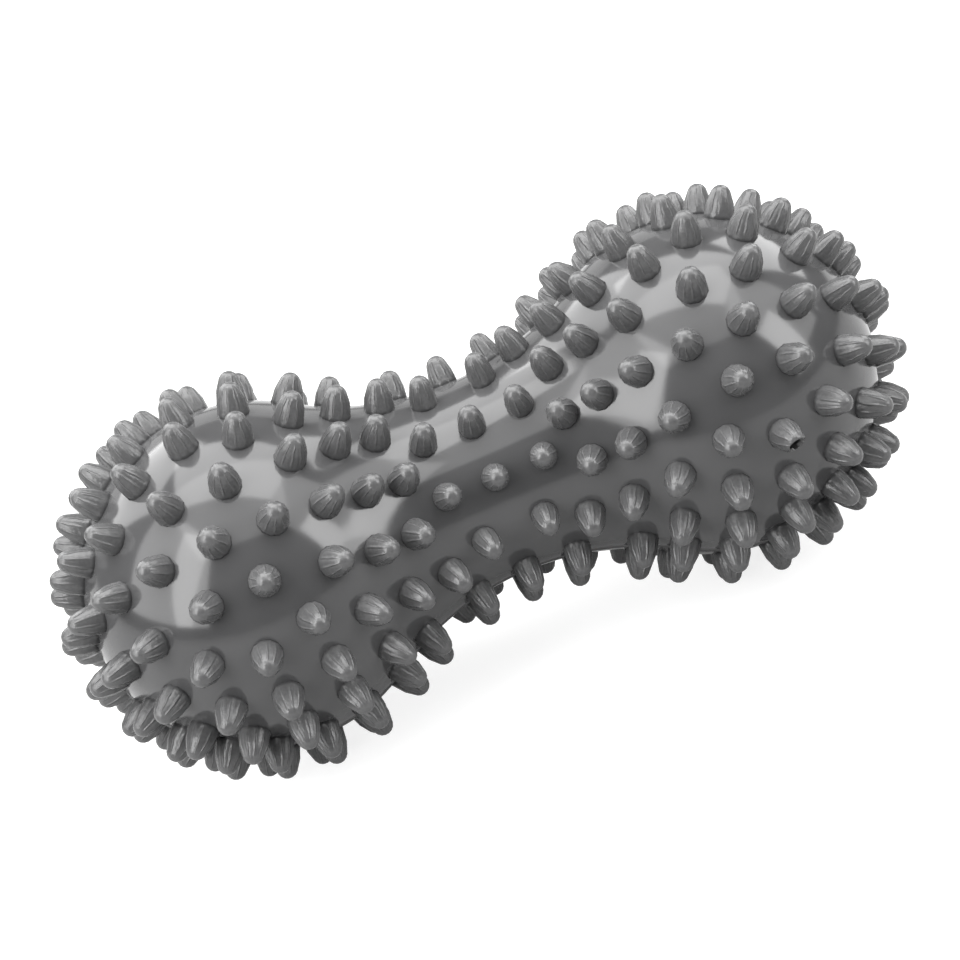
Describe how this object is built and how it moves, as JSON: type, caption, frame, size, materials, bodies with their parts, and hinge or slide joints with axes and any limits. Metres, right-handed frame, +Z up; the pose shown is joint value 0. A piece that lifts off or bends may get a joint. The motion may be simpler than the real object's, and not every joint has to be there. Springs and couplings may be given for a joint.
{
  "type": "peanut massage ball",
  "caption": "Peanut-shaped massage ball in one piece of grey plastic: two round lobes joined by a narrower waist, covered with blunt rounded spikes that press into back or feet as it rolls.",
  "frame": {"origin": "Under the middle of the waist, on the surface the ball rests on.", "axes": "+Z up; X along the long axis through both lobes; Y across them. The rest spikes are those beside the middle line of each lobe."},
  "size_m": [0.1594, 0.0722, 0.0719],
  "materials": {
    "skin": "glossy soft grey plastic"
  },
  "bodies": {
    "root": {"ball": "skin"}
  },
  "joints": []
}
